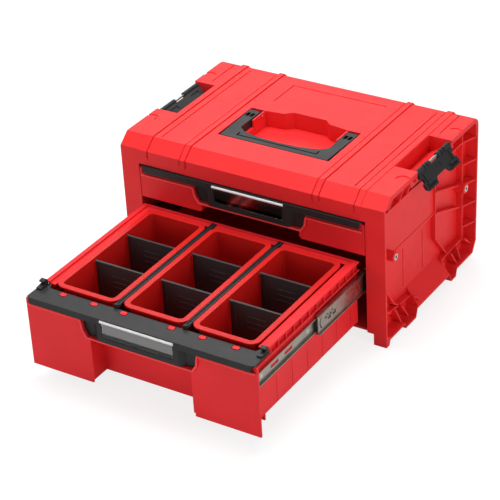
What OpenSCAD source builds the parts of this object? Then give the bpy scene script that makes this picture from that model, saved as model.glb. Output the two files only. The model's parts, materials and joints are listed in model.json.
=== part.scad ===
// Portable tool box with two drawers, shown with its lower drawer pulled out.
// Millimetres. X runs across the front, +Y runs from the front to the back, +Z is up.
// The origin lies on the floor, in the middle of everything as it stands, latch included.

/* [Cabinet] */
// Width of the cabinet over its two side frames
cabinet_w = 450; // [430:1:520]
// Depth of the cabinet from its front plane to its back edge
cabinet_d = 295; // [280:1:340]
// Height of the cabinet from the floor to its top face
cabinet_h = 243; // [230:1:260]
// Width of each front post beside the drawers
post_w = 31.5; // [29:0.5:34]
// Thickness of the front posts and of the outer rim
rim_t = 3.5; // [2.5:0.1:4]
// Thickness of the moulded walls
wall_t = 3; // [2:0.1:4]
// Thickness of the thin ribs
rib_t = 2.4; // [1.6:0.1:3]
// Height of the underside above the floor
floor_gap = 18.5; // [14:0.5:19]
// Distance from the top face down to the drawer opening
opening_drop = 39.5; // [37:0.5:39.5]
// Gap around each drawer front
front_gap = 1.2; // [0.6:0.1:2]
// Gap between pieces that lie against each other in a seam
seam = 0.2; // [0.1:0.05:0.4]

/* [Top cover] */
// Thickness of the top cover
cover_t = 3.5; // [3:0.1:4]
// Height of the front chamfer
chamfer_drop = 16; // [13:0.5:19]
// Depth of the front chamfer
chamfer_d = 20; // [14:0.5:26]
// Radius of the rounded rear edge
rear_edge_r = 14; // [8:1:16]
// Height of the two raised bands
band_h = 0.9; // [0.4:0.1:1.5]
// Height of the short lugs at the rear ends of the bands
rear_lug_h = 2.4; // [1.5:0.1:3]
// Width of the grooves
groove_w = 2; // [1:0.1:2.4]
// Depth of the grooves
groove_d = 1.4; // [0.5:0.1:1.6]
// Distance of the inner band from the middle
inner_band_x = 108.5; // [104:0.5:112]
// Width of the inner band
inner_band_w = 10.5; // [8:0.5:14]
// Distance of the outer band from the side of the cabinet
outer_band_side = 48.5; // [47:0.5:53]

/* [Carry handle] */
// Half of the width over the handle
handle_half_w = 94; // [88:1:98]
// Width of each handle arm
handle_arm_w = 18; // [14:1:19]
// Depth of the grip bar
grip_d = 20; // [16:1:24]
// Thickness of the handle
handle_t = 12; // [9:0.5:13]
// Front edge of the handle behind the front plane
handle_y = 71.5; // [64:0.5:76]
// Distance from the handle's front edge to its pivot
handle_reach = 88; // [84:1:92]
// Radius of the handle's pivot pins
handle_pin_r = 2.5; // [2:0.1:3]
// Depth of the finger recess below the top face
finger_recess = 27; // [22:1:30]
// Gap between the handle and its recess
handle_gap = 1.5; // [1:0.1:2]

/* [Side frames] */
// Depth of the recessed side panel behind the rim
panel_recess = 20; // [16:1:22]
// How far the inner frame stays behind the rim
inner_frame_back = 10; // [6:1:12]
// Height of the raised label pad above the side panel
pad_h = 5; // [2:0.5:6]
// Radius of the side bosses
boss_r = 8; // [7:0.5:9]
// Outer radius of the steel bushes in the bosses
bush_r = 5; // [4.5:0.1:5.5]
// Radius of the bore in each bush
bush_bore_r = 2.5; // [2:0.1:3.2]
// Length of each bush
bush_l = 18; // [12:1:18]
// Distance from the top face down to the middle of the bosses
boss_drop = 106; // [103:1:109]

/* [Side latches] */
// Length of the latch along the side
latch_l = 100; // [92:1:104]
// Height of the latch from its pivot to the end of its claws
latch_h = 31.5; // [29:0.5:31.5]
// Thickness of the latch plate
latch_t = 4.5; // [3.5:0.1:5]
// How far the lip of the claws stands out of the latch plate
latch_lip = 2.4; // [1.5:0.1:2.6]
// How far the right latch hangs outward at rest, in degrees
latch_tilt = 38; // [10:1:45]
// Slope of the recess floor that a folded latch lies on, in degrees
stow_slope = 25; // [22:1:28]
// Radius of the latch pins
latch_pin_r = 2; // [1.5:0.1:2.2]
// Width of the recess floor beside each latch
latch_slot_w = 25; // [25:0.5:27]

/* [Slides] */
// Thickness of a whole slide from drawer to cabinet
slide_t = 12.7; // [12.7:0.1:13.5]
// Height of the cabinet rail
cabinet_rail_h = 40; // [38:0.5:41]
// Height of the middle rail
middle_rail_h = 31.2; // [31:0.1:31.4]
// Height of the drawer rail
drawer_rail_h = 22.4; // [22.2:0.1:22.6]
// Thickness of the rail steel
steel_t = 1.2; // [1:0.05:1.25]
// Distance from the top face down to the lower slide's centre
lower_slide_drop = 140.5; // [140:0.5:143]
// Distance from the top face down to the upper slide's centre
upper_slide_drop = 69; // [68:0.5:71]
// Distance that each drawer pulls out
travel = 292; // [240:1:292]
// Length of the ball cages
cage_l = 100; // [80:1:104]
// Radius of the bearing balls
ball_r = 1.45; // [1.4:0.01:1.5]
// Number of balls in each row of a cage
balls_per_row = 4; // [3:1:6]

/* [Drawers] */
// Distance from the side of the drawer opening in to the drawer tub
tub_side_gap = 12.5; // [12.5:0.5:17]
// Thickness of the drawer walls
tub_t = 2.5; // [2:0.1:3]
// Gap between the rear wall of a drawer and the back panel
tub_back_gap = 0.7; // [0.5:0.1:8]
// Height of the lower drawer's floor
lower_tub_z = 36; // [32:0.5:38]
// Distance from the top face down to the lower drawer's rim
lower_rim_drop = 103.6; // [102:0.1:106]
// Distance from the lower drawer's rim down to the top of its front blocks
lower_block_drop = 17.4; // [16:0.1:19]
// Distance from the top face down to the upper drawer's floor
upper_tub_drop = 92.5; // [91:0.5:94]
// Distance from the top face down to the bottom of the upper front blocks
upper_block_drop = 95; // [94:0.5:97]
// Height of the upper drawer's front blocks
upper_block_h = 38; // [36:0.5:39]
// Half of the width of the finger recess in the drawer fronts
grip_half_w = 86.5; // [80:0.5:92]
// Depth of the finger recess in the drawer fronts
grip_recess = 30; // [24:1:31]

/* [Trims] */
// Gap between the end of a drawer trim and the side of the drawer opening
trim_side_gap = 5; // [4.5:0.5:7.5]
// How far the trim stands in front of the drawer face
trim_proud = 4; // [2:0.5:5]
// Height of the trim's front band
trim_band_h = 10.4; // [9:0.1:12]
// Thickness of the trim plate
trim_t = 2.4; // [2:0.1:3]
// Half of the width of the label holder
holder_half_w = 67; // [62:1:72]
// Height of the label holder
holder_h = 38; // [35:0.5:39]
// Half of the width of the label window
window_half_w = 59; // [54:1:61]
// Height of the label window
window_h = 24; // [20:0.5:25]

/* [Bins] */
// Width of the ledge beside the outer bins
side_ledge = 11.8; // [11.5:0.1:20]
// Width of the ledge behind the bins
bin_land = 9.5; // [8:0.5:16]
// Width of the bin rim
bin_rim_w = 8.5; // [7:0.1:9]
// Thickness of the bin walls
bin_t = 1.8; // [1.4:0.1:2.2]
// Radius of the bin corners
bin_corner_r = 15; // [12:0.5:18]
// Width of the strip between two bins
strip_w = 8; // [7:0.5:8]
// Thickness of the dividers
divider_t = 1.8; // [1.4:0.1:2.2]
// Distance from the drawer face to the front divider
front_divider_y = 121.6; // [112:0.2:126]
// Distance from the drawer face to the rear divider
rear_divider_y = 201.6; // [186:0.2:206]

/* [Hidden] */
$fn = 32;

red = [0.86, 0.09, 0.12];
black = [0.16, 0.16, 0.17];
steel = [0.72, 0.70, 0.66];
clear_plastic = [0.75, 0.78, 0.80, 0.5];

half_w = cabinet_w / 2;
opening_top = cabinet_h - opening_drop;
chamfer_z = cabinet_h - chamfer_drop;
boss_z = cabinet_h - boss_drop;
lower_slide_z = cabinet_h - lower_slide_drop;
upper_slide_z = cabinet_h - upper_slide_drop;
lower_rim_z = cabinet_h - lower_rim_drop;
lower_block_top = lower_rim_z - lower_block_drop;
upper_tub_z = cabinet_h - upper_tub_drop;
upper_block_z = cabinet_h - upper_block_drop;
upper_block_top = upper_block_z + upper_block_h;
opening_half_w = half_w - post_w;
tub_half_w = opening_half_w - tub_side_gap;
trim_half_w = opening_half_w - trim_side_gap;
outer_band_x = half_w - outer_band_side;
// The lower drawer is shown at the end of its travel.
lower_open = travel;
panel_x = half_w - panel_recess;
panel_in_x = panel_x - wall_t;
inner_frame_x = half_w - inner_frame_back;
slide_out_x = tub_half_w + slide_t;

// The side outline, from the front foot round the underside to the back and the top.
foot_l = 9;
foot_rise = 8;
front_pad_y = [60, 92];
rear_pad_y = [cabinet_d - 88, cabinet_d - 73];
arch_z = 14;
rear_chamfer = [cabinet_d - 16, 12];
rear_low_z = 30;
rear_draft = 4.5;
back_out_y = cabinet_d - rear_draft - 0.5;
back_in_y = back_out_y - 2.3;
tub_l = back_in_y - tub_back_gap;
skirt_z = cabinet_h - 28;
chamfer_slope = (cabinet_h - chamfer_z) / chamfer_d;
chamfer_len = sqrt(1 + chamfer_slope * chamfer_slope);

// Points of the cover's outside, moved inward by a depth, from the front edge to the back.
function cover_line(depth, front_z, back_z) = [
  [depth, front_z],
  [depth, chamfer_z + chamfer_slope * depth - depth * chamfer_len],
  [(cabinet_h - depth - chamfer_z + depth * chamfer_len) / chamfer_slope, cabinet_h - depth],
  for (a = [90 : -30 : 0])
    [cabinet_d - rear_edge_r + (rear_edge_r - depth) * cos(a),
     cabinet_h - rear_edge_r + (rear_edge_r - depth) * sin(a)],
  [cabinet_d - depth, back_z]
];
function reversed(list) = [for (i = [len(list) - 1 : -1 : 0]) list[i]];
// The chamfer's underside reaches the seam at this depth.
chamfer_seam_y = cover_t * chamfer_len / chamfer_slope;

module box(x0, x1, y0, y1, z0, z1) {
  translate([x0, y0, z0]) cube([x1 - x0, y1 - y0, z1 - z0]);
}
// A plate cut from an outline in Y and Z, between two places along X.
module side_plate(points, x0, x1) {
  translate([x0, 0, 0]) rotate([90, 0, 90]) linear_extrude(x1 - x0) polygon(points);
}
// A plate cut from an outline in X and Z, between two places along Y.
module cross_plate(points, y0, y1) {
  translate([0, y1, 0]) rotate([90, 0, 0]) linear_extrude(y1 - y0) polygon(points);
}
// A plate cut from an outline in X and Y, between two heights.
module flat_plate(points, z0, z1) {
  translate([0, 0, z0]) linear_extrude(z1 - z0) polygon(points);
}
module both_sides() {
  children();
  mirror([1, 0, 0]) children();
}
module x_rod(radius, x0, x1, y, z) {
  translate([x0, y, z]) rotate([0, 90, 0]) cylinder(r = radius, h = x1 - x0);
}
module y_rod(radius, x, y0, y1, z) {
  translate([x, y1, z]) rotate([90, 0, 0]) cylinder(r = radius, h = y1 - y0);
}
// A straight rib in the side plane from one (y, z) point to another.
module side_rib(from, to, x0, x1) {
  run = to - from;
  translate([x0, from[0], from[1]]) rotate([atan2(run[1], run[0]), 0, 0])
    translate([0, 0, -rib_t / 2]) cube([x1 - x0, norm(run), rib_t]);
}
module round_rect(w, l, r) {
  square([w - 2 * r, l], center = true);
  square([w, l - 2 * r], center = true);
  for (sx = [-1, 1], sy = [-1, 1])
    translate([sx * (w / 2 - r), sy * (l / 2 - r)]) circle(r);
}

// ---------------------------------------------------------------- top cover

pocket_half_w = handle_half_w + handle_gap;
pocket_front_y = handle_y - handle_gap;
handle_pivot_y = handle_y + handle_reach;
handle_pivot_z = cabinet_h - handle_t / 2;
handle_end_r = handle_t / 2;
pocket_rear_y = handle_pivot_y + handle_end_r + handle_gap;
channel_z = cabinet_h - handle_t - handle_gap;
finger_z = cabinet_h - finger_recess;
finger_half_w = handle_half_w - handle_arm_w - handle_gap - wall_t;
pocket_wall_t = 2.5;
hinge_wall_l = 34;
finger_rear = [
  [finger_half_w, pocket_rear_y], [finger_half_w - 8, pocket_rear_y + 1],
  [40, pocket_rear_y + 4], [28, pocket_rear_y + 14],
  [-28, pocket_rear_y + 14], [-40, pocket_rear_y + 4],
  [-finger_half_w + 8, pocket_rear_y + 1], [-finger_half_w, pocket_rear_y]
];

// Ends of the corner-shaped groove behind the handle.
mark_ends_x = [handle_arm_w - handle_half_w, handle_half_w - 6];
mark_rear_y = cabinet_d - 34;
latch_mid_y = 153;
latch_gap = 3;
latch_y0 = latch_mid_y - latch_l / 2 - latch_gap;
latch_y1 = latch_mid_y + latch_l / 2 + latch_gap;
latch_pivot_x = half_w - 4.5;
latch_pivot_z = cabinet_h - 6;
slot_out_x = half_w - 12;
slot_in_x = slot_out_x - latch_slot_w;
slot_wall_t = 2;
ear_l = 5;
stow_gap = 0.6;
// Height of the recess floor, which runs parallel to a folded latch.
function stow_floor_z(x) = latch_pivot_z - (latch_pivot_x - x) * tan(stow_slope)
  - (latch_t / 2 + latch_lip + stow_gap) / cos(stow_slope);
slot_z = stow_floor_z(slot_in_x);

// The whole box stands left of the middle by half of the right latch's overhang.
latch_reach_x = latch_pivot_x + latch_h * sin(latch_tilt)
  + (latch_t / 2 + latch_lip) * cos(latch_tilt);
frame_shift = (half_w - latch_reach_x) / 2;
module in_frame() {
  translate([frame_shift, 0, 0]) children();
}

module cover_sheet() {
  inside = cover_line(cover_t, 0, skirt_z);
  side_plate(concat(
    cover_line(0, chamfer_z, skirt_z),
    reversed([for (i = [2 : len(inside) - 1]) inside[i]]),
    [[chamfer_seam_y, chamfer_z]]), -half_w, half_w);
  side_plate(concat([[0, opening_top], [0, chamfer_z], [chamfer_seam_y, chamfer_z]],
    [cover_line(cover_t, 0, 0)[1], [cover_t, opening_top + 2.5], [8, opening_top + 2.5],
     [8, opening_top]]), -opening_half_w, opening_half_w);
}
// A strip that follows the cover's outside between two depths; a negative depth stands proud.
module cover_strip(x0, x1, outer, inner, front_z) {
  side_plate(concat(cover_line(outer, front_z, skirt_z + 12),
    reversed(cover_line(inner, front_z, skirt_z + 12))), x0, x1);
}
module cover_bands() {
  for (x = [inner_band_x, outer_band_x]) {
    cover_strip(x, x + inner_band_w, -band_h, 1, chamfer_z - 12);
    intersection() {
      cover_strip(x, x + inner_band_w, -rear_lug_h, 1, chamfer_z - 12);
      box(0, half_w, cabinet_d - rear_edge_r, cabinet_d + rear_lug_h, cabinet_h - rear_edge_r,
        cabinet_h + band_h);
    }
  }
}
module cover_groove(x, front_z) {
  cover_strip(x - groove_w / 2, x + groove_w / 2, -rear_lug_h - 1, groove_d, front_z);
}
module short_groove(x, y0, y1) {
  box(x - groove_w / 2, x + groove_w / 2, y0, y1, cabinet_h - groove_d, cabinet_h + 1);
}
// A curved mark like a small hood beside each latch.
module hood_mark(y, turn) {
  mark_x = half_w - 9;
  translate([mark_x, y, cabinet_h - groove_d]) rotate([0, 0, turn]) difference() {
    cylinder(r = 11, h = 3);
    translate([0, 0, -1]) cylinder(r = 7.2, h = 5);
    translate([-12, -24, -1]) cube([24, 24, 5]);
  }
}
module handle_pocket_outline(grow) {
  polygon([
    [-pocket_half_w - grow, pocket_front_y - grow], [pocket_half_w + grow, pocket_front_y - grow],
    [pocket_half_w + grow, pocket_rear_y + grow], [finger_half_w + grow, pocket_rear_y + grow],
    for (p = finger_rear) [p[0], p[1] + grow],
    [-finger_half_w - grow, pocket_rear_y + grow], [-pocket_half_w - grow, pocket_rear_y + grow]
  ]);
}
module finger_outline() {
  polygon(concat([[-finger_half_w, pocket_front_y], [finger_half_w, pocket_front_y]],
    finger_rear));
}
module handle_pocket_body() {
  intersection() {
    translate([0, 0, channel_z - pocket_wall_t])
      linear_extrude(cabinet_h - channel_z) handle_pocket_outline(pocket_wall_t);
    box(-half_w, half_w, 0, cabinet_d, 0, cabinet_h - 0.5);
  }
  translate([0, 0, finger_z - pocket_wall_t]) linear_extrude(channel_z - finger_z)
    intersection() {
      handle_pocket_outline(pocket_wall_t);
      translate([-finger_half_w - pocket_wall_t, 0])
        square([2 * (finger_half_w + pocket_wall_t), cabinet_d]);
    }
}
module handle_pocket_hollow() {
  difference() {
    union() {
      translate([0, 0, channel_z]) linear_extrude(cabinet_h) handle_pocket_outline(0);
      translate([0, 0, finger_z]) linear_extrude(cabinet_h) finger_outline();
    }
    both_sides()
      box(finger_half_w, finger_half_w + pocket_wall_t, pocket_rear_y - hinge_wall_l,
        pocket_rear_y + 1, 0, cabinet_h - 1);
  }
  both_sides()
    x_rod(handle_pin_r, finger_half_w - 1, pocket_half_w + 6, handle_pivot_y, handle_pivot_z);
}
module latch_slot_body() {
  under_x = slot_in_x + 6;
  under_z = slot_z - slot_wall_t - 1;
  difference() {
    box(slot_in_x - slot_wall_t, slot_out_x + slot_wall_t, latch_y0 - slot_wall_t,
      latch_y1 + slot_wall_t, slot_z - slot_wall_t, cabinet_h - 1);
    cross_plate([[under_x, under_z], [slot_out_x, under_z],
      [slot_out_x, stow_floor_z(slot_out_x) - slot_wall_t],
      [under_x, stow_floor_z(under_x) - slot_wall_t]], latch_y0, latch_y1);
  }
  for (y = [latch_y0 - ear_l, latch_y1])
    box(slot_out_x, half_w - 0.5, y, y + ear_l, latch_pivot_z - 9, cabinet_h - 1);
}
module latch_slot_hollow() {
  cross_plate([[slot_in_x, cabinet_h + 5], [slot_in_x, slot_z],
    [half_w + 5, stow_floor_z(half_w + 5)], [half_w + 5, cabinet_h + 5]], latch_y0, latch_y1);
  box(slot_out_x + slot_wall_t, half_w + 5, latch_y0, latch_y1, 0, cabinet_h + 5);
  y_rod(latch_pin_r, latch_pivot_x, latch_y0 - ear_l + 1, latch_y1 + ear_l - 1, latch_pivot_z);
}

module top_cover() {
  color(red) in_frame() difference() {
    union() {
      cover_sheet();
      both_sides() cover_bands();
      handle_pocket_body();
      both_sides() latch_slot_body();
    }
    handle_pocket_hollow();
    both_sides() {
      latch_slot_hollow();
      cover_groove(inner_band_x, chamfer_z - 13);
      cover_groove(inner_band_x + inner_band_w, chamfer_z - 10);
      cover_groove(outer_band_x, chamfer_z - 13);
      short_groove(outer_band_x - 11.5, chamfer_d + 4, cabinet_d - 20);
      short_groove(half_w - 25.5, latch_y1 + 12, cabinet_d - rear_edge_r);
      hood_mark(latch_y0 - 29, 20);
      hood_mark(latch_y1 + 28, -20);
    }
    short_groove(mark_ends_x[0], mark_rear_y - 60, mark_rear_y);
    box(mark_ends_x[0], mark_ends_x[1], mark_rear_y - groove_w, mark_rear_y, cabinet_h - groove_d,
      cabinet_h + 1);
  }
}

// -------------------------------------------------------------- side frames

function side_outline(inset) = concat(
  [[inset, floor_gap * (inset > 0 ? 1 : 0)]],
  inset > 0 ? [] : [[foot_l, 0]],
  [[foot_l + 3, foot_rise + inset], [front_pad_y[0] - 3, foot_rise + inset],
   [front_pad_y[0], inset], [front_pad_y[1], inset], [front_pad_y[1] + 5, arch_z + inset],
   [rear_pad_y[0] - 7, arch_z + inset], [rear_pad_y[0], inset], [rear_pad_y[1], inset],
   [rear_pad_y[1] + 4, rear_chamfer[1] + inset],
   [rear_chamfer[0] - inset / 2, rear_chamfer[1] + inset],
   [cabinet_d - rear_draft - inset, rear_low_z + inset / 2],
   [cabinet_d - seam - inset, skirt_z - seam - inset],
   [cabinet_d - cover_t - seam - inset, skirt_z - seam - inset]],
  reversed([for (i = [2 : 6]) cover_line(cover_t + seam + inset, 0, 0)[i]]),
  [[chamfer_seam_y + seam + inset * chamfer_len / chamfer_slope, chamfer_z - seam],
   [inset, chamfer_z - seam]]);

frame_low_z = 44;
frame_top_z = cabinet_h - 33;
frame_rear_y = cabinet_d - 33;
frame_front_y = 9;
front_rib_y = cabinet_d - 117;
boss_front_y = 33.6;
boss_rear_y = cabinet_d - 38;
rear_cell_z = [64, 100, boss_z, frame_top_z - 38, frame_top_z];
top_cell_y = [30, 62, 86];
shelf_z = frame_top_z - 82;
step_y = rear_pad_y[0] - 3;
slope_y = [front_pad_y[1] + 6, rear_pad_y[0] - 8];

// The thin inner frame and its cross ribs, drawn for the right side.
module side_ribs() {
  side_rib([frame_front_y, frame_top_z], [frame_rear_y, frame_top_z], panel_x, inner_frame_x);
  side_rib([frame_rear_y, cabinet_h - 5], [frame_rear_y, frame_low_z], panel_x,
    inner_frame_x);
  side_rib([frame_rear_y, frame_low_z], [step_y - 10, frame_low_z - 2], panel_x,
    inner_frame_x);
  side_rib([step_y - 10, frame_low_z - 2], [step_y, 26], panel_x, inner_frame_x);
  side_rib([step_y, 26], [step_y, arch_z - 8], panel_x, inner_frame_x);
  side_rib([frame_rear_y, frame_low_z], [cabinet_d - 10, 24], panel_x, inner_frame_x + 5);
  side_rib([frame_rear_y - 26, frame_low_z], [frame_rear_y - 14, rear_chamfer[1] + 1], panel_x,
    inner_frame_x + 5);
  side_rib([front_rib_y, frame_top_z - 1], [front_rib_y, 2 * frame_low_z], panel_x,
    inner_frame_x - 2);
  side_rib([front_rib_y, 2 * frame_low_z], [step_y + 9, frame_low_z], panel_x,
    inner_frame_x - 2);
  side_rib([front_rib_y, frame_top_z - 42], [boss_rear_y - 4, boss_z + 5], panel_x,
    inner_frame_x);
  side_rib([front_rib_y, shelf_z + 4], [boss_rear_y - 4, boss_z - 33], panel_x,
    inner_frame_x);
  side_rib([16, frame_low_z + 1], [62, frame_low_z - 6], panel_x, inner_frame_x);
  side_rib([62, frame_low_z - 6], [92, frame_low_z - 8], panel_x, inner_frame_x);
  side_rib([92, frame_low_z - 8], [102, frame_low_z - 19], panel_x, inner_frame_x);
  side_rib([102, frame_low_z - 19], [102, arch_z + 1], panel_x, inner_frame_x);
  side_rib([40, frame_low_z - 3], [58, foot_rise + 1], panel_x, inner_frame_x + 4);
  side_rib([1, 60], [26, frame_low_z], panel_x, inner_frame_x + 4);
  for (z = rear_cell_z)
    flat_plate([[panel_x, frame_rear_y], [inner_frame_x, frame_rear_y],
      [half_w - 0.5, cabinet_d - rear_draft - 2], [panel_x, cabinet_d - rear_draft - 2]],
      z - rib_t / 2, z + rib_t / 2);
  for (y = top_cell_y)
    cross_plate([[panel_x, frame_top_z], [inner_frame_x, frame_top_z],
      [half_w - 0.5, cabinet_h - cover_t - seam], [panel_x, cabinet_h - cover_t - seam]],
      y - rib_t / 2, y + rib_t / 2);
}
module rail_pads(z) {
  for (y = rail_pad_y)
    box(slide_out_x, panel_in_x + 0.5, y - 14, y + 14, z - cabinet_rail_h / 2,
      z + cabinet_rail_h / 2);
}
module right_frame_solid() {
  difference() {
    union() {
      difference() {
        side_plate(side_outline(0), panel_in_x, half_w);
        side_plate(side_outline(rim_t), panel_x, half_w + 1);
      }
      box(opening_half_w, half_w, 0, rim_t, floor_gap, chamfer_z - seam);
      side_ribs();
      box(panel_x - 0.5, panel_x + pad_h, frame_front_y + 6, front_rib_y,
        shelf_z, frame_top_z - 5);
      cross_plate([[panel_in_x, frame_low_z + 2], [panel_x, frame_low_z + 2],
        [half_w, arch_z + 4], [half_w, arch_z], [panel_in_x, arch_z]],
        slope_y[0], slope_y[1]);
      for (y = [boss_front_y, boss_rear_y])
        x_rod(boss_r, panel_x - 1, half_w - 1.5, y, boss_z);
      rail_pads(lower_slide_z);
      rail_pads(upper_slide_z);
    }
    box(panel_in_x - 1, half_w - foot_w, -1, rim_t + 1, -1, floor_gap);
    box(0, half_w + 1, latch_y0, latch_y1, frame_top_z + rib_t / 2, cabinet_h);
    box(0, half_w + 1, latch_y0 - ear_l - seam, latch_y1 + ear_l + seam,
      latch_pivot_z - 9 - seam, cabinet_h);
    box(0, slot_out_x + slot_wall_t + seam, latch_y0 - slot_wall_t - seam,
      latch_y1 + slot_wall_t + seam, slot_z - slot_wall_t - seam, cabinet_h);
    for (y = panel_groove_y)
      box(panel_x - 1, panel_x + 1, y - groove_w / 2, y + groove_w / 2, frame_low_z + 6,
        shelf_z - 12);
    box(panel_x + pad_h - 1, panel_x + pad_h + 1, frame_front_y, front_rib_y - 4,
      shelf_z + 4, shelf_z + 5.4);
    for (y = [boss_front_y, boss_rear_y])
      x_rod(bush_r, bush_in_x, half_w + 1, y, boss_z);
    for (z = [lower_slide_z, upper_slide_z], y = rail_pad_y)
      x_rod(screw_r, slide_out_x - 1, slide_out_x + screw_l, y, z);
  }
}
foot_w = 21;
rail_front_y = 5;
rail_rear_y = tub_l - 2.6;
bush_in_x = half_w - 0.5 - bush_l;
panel_groove_y = [89, 150];
rail_pad_y = [24, rail_rear_y / 2 + 4, rail_rear_y - 18.4];
screw_r = 1.9;
screw_l = 6;
screw_head_r = 3.4;

module right_side_frame() {
  color(red) in_frame() right_frame_solid();
}
module left_side_frame() {
  color(red) in_frame() mirror([1, 0, 0]) right_frame_solid();
}
module side_bushes() {
  color(steel) in_frame() both_sides() for (y = [boss_front_y, boss_rear_y]) difference() {
    x_rod(bush_r, bush_in_x, bush_in_x + bush_l, y, boss_z);
    x_rod(bush_bore_r, bush_in_x - 1, half_w + 1, y, boss_z);
  }
}

// ------------------------------------------------------- back panel and base

back_rib_pitch = (panel_in_x - 52) / 2.5;
back_rib_x = [for (i = [-2.5 : 2.5]) i * back_rib_pitch];

module back_panel() {
  color(red) in_frame() difference() {
    union() {
      box(-panel_in_x + seam, panel_in_x - seam, back_in_y, back_out_y, floor_gap + 3.7,
        skirt_z + 6);
      for (x = back_rib_x)
        box(x - 8, x + 8, back_out_y - 1, back_out_y + 1.2, floor_gap + 18, skirt_z - 12);
    }
    box(-60, 60, back_out_y - 0.8, back_out_y + 4, skirt_z - 65, skirt_z - 25);
  }
}
base_rib_x = panel_in_x - 62;

module base_plate() {
  color(red) in_frame() difference() {
    union() {
      box(-panel_in_x + seam, panel_in_x - seam, rim_t + 0.6, back_out_y, floor_gap,
        floor_gap + 3.5);
      for (y = [60, back_out_y / 2 + 5, back_out_y - 50])
        box(-panel_in_x + 12, panel_in_x - 12, y - 1.5, y + 1.5, floor_gap - 4, floor_gap + 1);
      for (x = [-base_rib_x, 0, base_rib_x])
        box(x - 1.5, x + 1.5, 30, back_out_y - 30, floor_gap - 4, floor_gap + 1);
    }
    for (x = [-base_rib_x / 2, base_rib_x / 2], y = [105, back_out_y - 95])
      box(x - 30, x + 30, y - 20, y + 20, floor_gap - 1, floor_gap + 1.2);
  }
}

// -------------------------------------------------------------- carry handle

handle_bottom_z = cabinet_h - handle_t;
handle_inner_x = handle_half_w - handle_arm_w;
grip_line_w = 2.2;
grip_line_x = handle_inner_x - 9;
grip_line_y = handle_y + 9;

module carry_handle() {
  taper = 2;
  color(black) in_frame() difference() {
    union() {
      flat_plate([
        [-handle_half_w + taper, handle_y], [handle_half_w - taper, handle_y],
        [handle_half_w, handle_pivot_y], [handle_inner_x, handle_pivot_y],
        [handle_inner_x, handle_y + grip_d + 14], [handle_inner_x - 12, handle_y + grip_d + 4],
        [48, handle_y + grip_d], [30, handle_y + grip_d - 3], [0, handle_y + grip_d - 4],
        [-30, handle_y + grip_d - 3], [-48, handle_y + grip_d],
        [-handle_inner_x + 12, handle_y + grip_d + 4],
        [-handle_inner_x, handle_y + grip_d + 14],
        [-handle_inner_x, handle_pivot_y], [-handle_half_w, handle_pivot_y]
      ], handle_bottom_z, cabinet_h);
      both_sides()
        x_rod(handle_end_r, handle_inner_x, handle_half_w, handle_pivot_y, handle_pivot_z);
    }
    both_sides() {
      x_rod(handle_pin_r + pin_gap, handle_inner_x - 1, handle_half_w + 1, handle_pivot_y,
        handle_pivot_z);
      box(grip_line_x, grip_line_x + grip_line_w, grip_line_y, grip_line_y + 10,
        cabinet_h - grip_line_w, cabinet_h + 1);
      for (x = [handle_inner_x + 2.5, handle_inner_x + 10])
        box(x, x + 5.5, handle_pivot_y - 19, handle_pivot_y - 8, cabinet_h - 4, cabinet_h + 1);
    }
    box(-grip_line_x, grip_line_x, grip_line_y, grip_line_y + grip_line_w,
      cabinet_h - grip_line_w, cabinet_h + 1);
    box(-60, 60, handle_y + 4, handle_y + grip_d - 8, handle_bottom_z - 1,
      handle_bottom_z + 5);
  }
}
pin_gap = 0.1;

module handle_pins() {
  color(steel) in_frame() both_sides()
    x_rod(handle_pin_r, finger_half_w - 0.6, pocket_half_w + 1.5, handle_pivot_y,
      handle_pivot_z);
}

// -------------------------------------------------------------- side latches

// Half of the latch's outline: distance from its middle, distance below its pivot.
knuckle_r = 4.2;
knuckle_in_y = 12.5;
claw_in_y = 15;
latch_notch = 23;
latch_half = [
  [0, knuckle_r], [knuckle_in_y, knuckle_r], [knuckle_in_y, 0], [latch_l / 2, 0],
  [latch_l / 2, 9], [latch_l / 2 - 5, 13], [latch_l / 2 - 5, 18], [latch_l / 2, 21],
  [latch_l / 2, latch_h - 4], [latch_l / 2 - 4, latch_h], [claw_in_y + 6, latch_h],
  [claw_in_y, latch_notch], [0, latch_notch]
];

module latch_solid(tilt) {
  plate_x = latch_t / 2;
  translate([latch_pivot_x, latch_mid_y, latch_pivot_z]) rotate([0, -tilt, 0]) difference() {
    for (s = [0, 1])
      mirror([0, s, 0]) {
        side_plate([for (p = latch_half) [p[0], -p[1]]], -plate_x, plate_x);
        y_rod(knuckle_r, 0, knuckle_in_y, latch_l / 2, 0);
        box(plate_x - 0.5, plate_x + latch_lip, claw_in_y + 7, latch_l / 2 - 3, -latch_h,
          -latch_h + 2.5);
        box(plate_x - 0.5, plate_x + latch_lip, claw_in_y + 9, latch_l / 2 - 6,
          -latch_notch - 1, -latch_notch + 2);
        box(plate_x - 0.5, plate_x + 1.5, latch_l / 2 - 12, latch_l / 2 - 9, -latch_notch, -6);
      }
    y_rod(latch_pin_r + pin_gap, 0, -latch_l, latch_l, 0);
    for (s = [0, 1])
      mirror([0, s, 0]) {
        box(plate_x - 1.2, plate_x + 1, claw_in_y + 9, latch_l / 2 - 6, -latch_h + 3.5,
          -latch_notch - 2);
        for (y = [knuckle_in_y + 8, knuckle_in_y + 16])
          box(1.2, knuckle_r + 1, y, y + 2.5, -knuckle_r, knuckle_r + 1);
        box(-plate_x - 1, -plate_x + 1.2, claw_in_y + 4, latch_l / 2 - 10, -16, -9);
      }
    box(plate_x - 0.8, plate_x + 1, -9, 9, -17, -9);
  }
}
module right_latch() {
  color(black) in_frame() latch_solid(latch_tilt);
}
// The left latch lies folded in its recess.
module left_latch() {
  color(black) in_frame() mirror([1, 0, 0]) latch_solid(270 + stow_slope);
}
module latch_pins() {
  color(steel) in_frame() both_sides()
    y_rod(latch_pin_r, latch_pivot_x, latch_y0 - ear_l + 1.5, latch_y1 + ear_l - 1.5,
      latch_pivot_z);
}

// -------------------------------------------------------------------- slides

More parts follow.
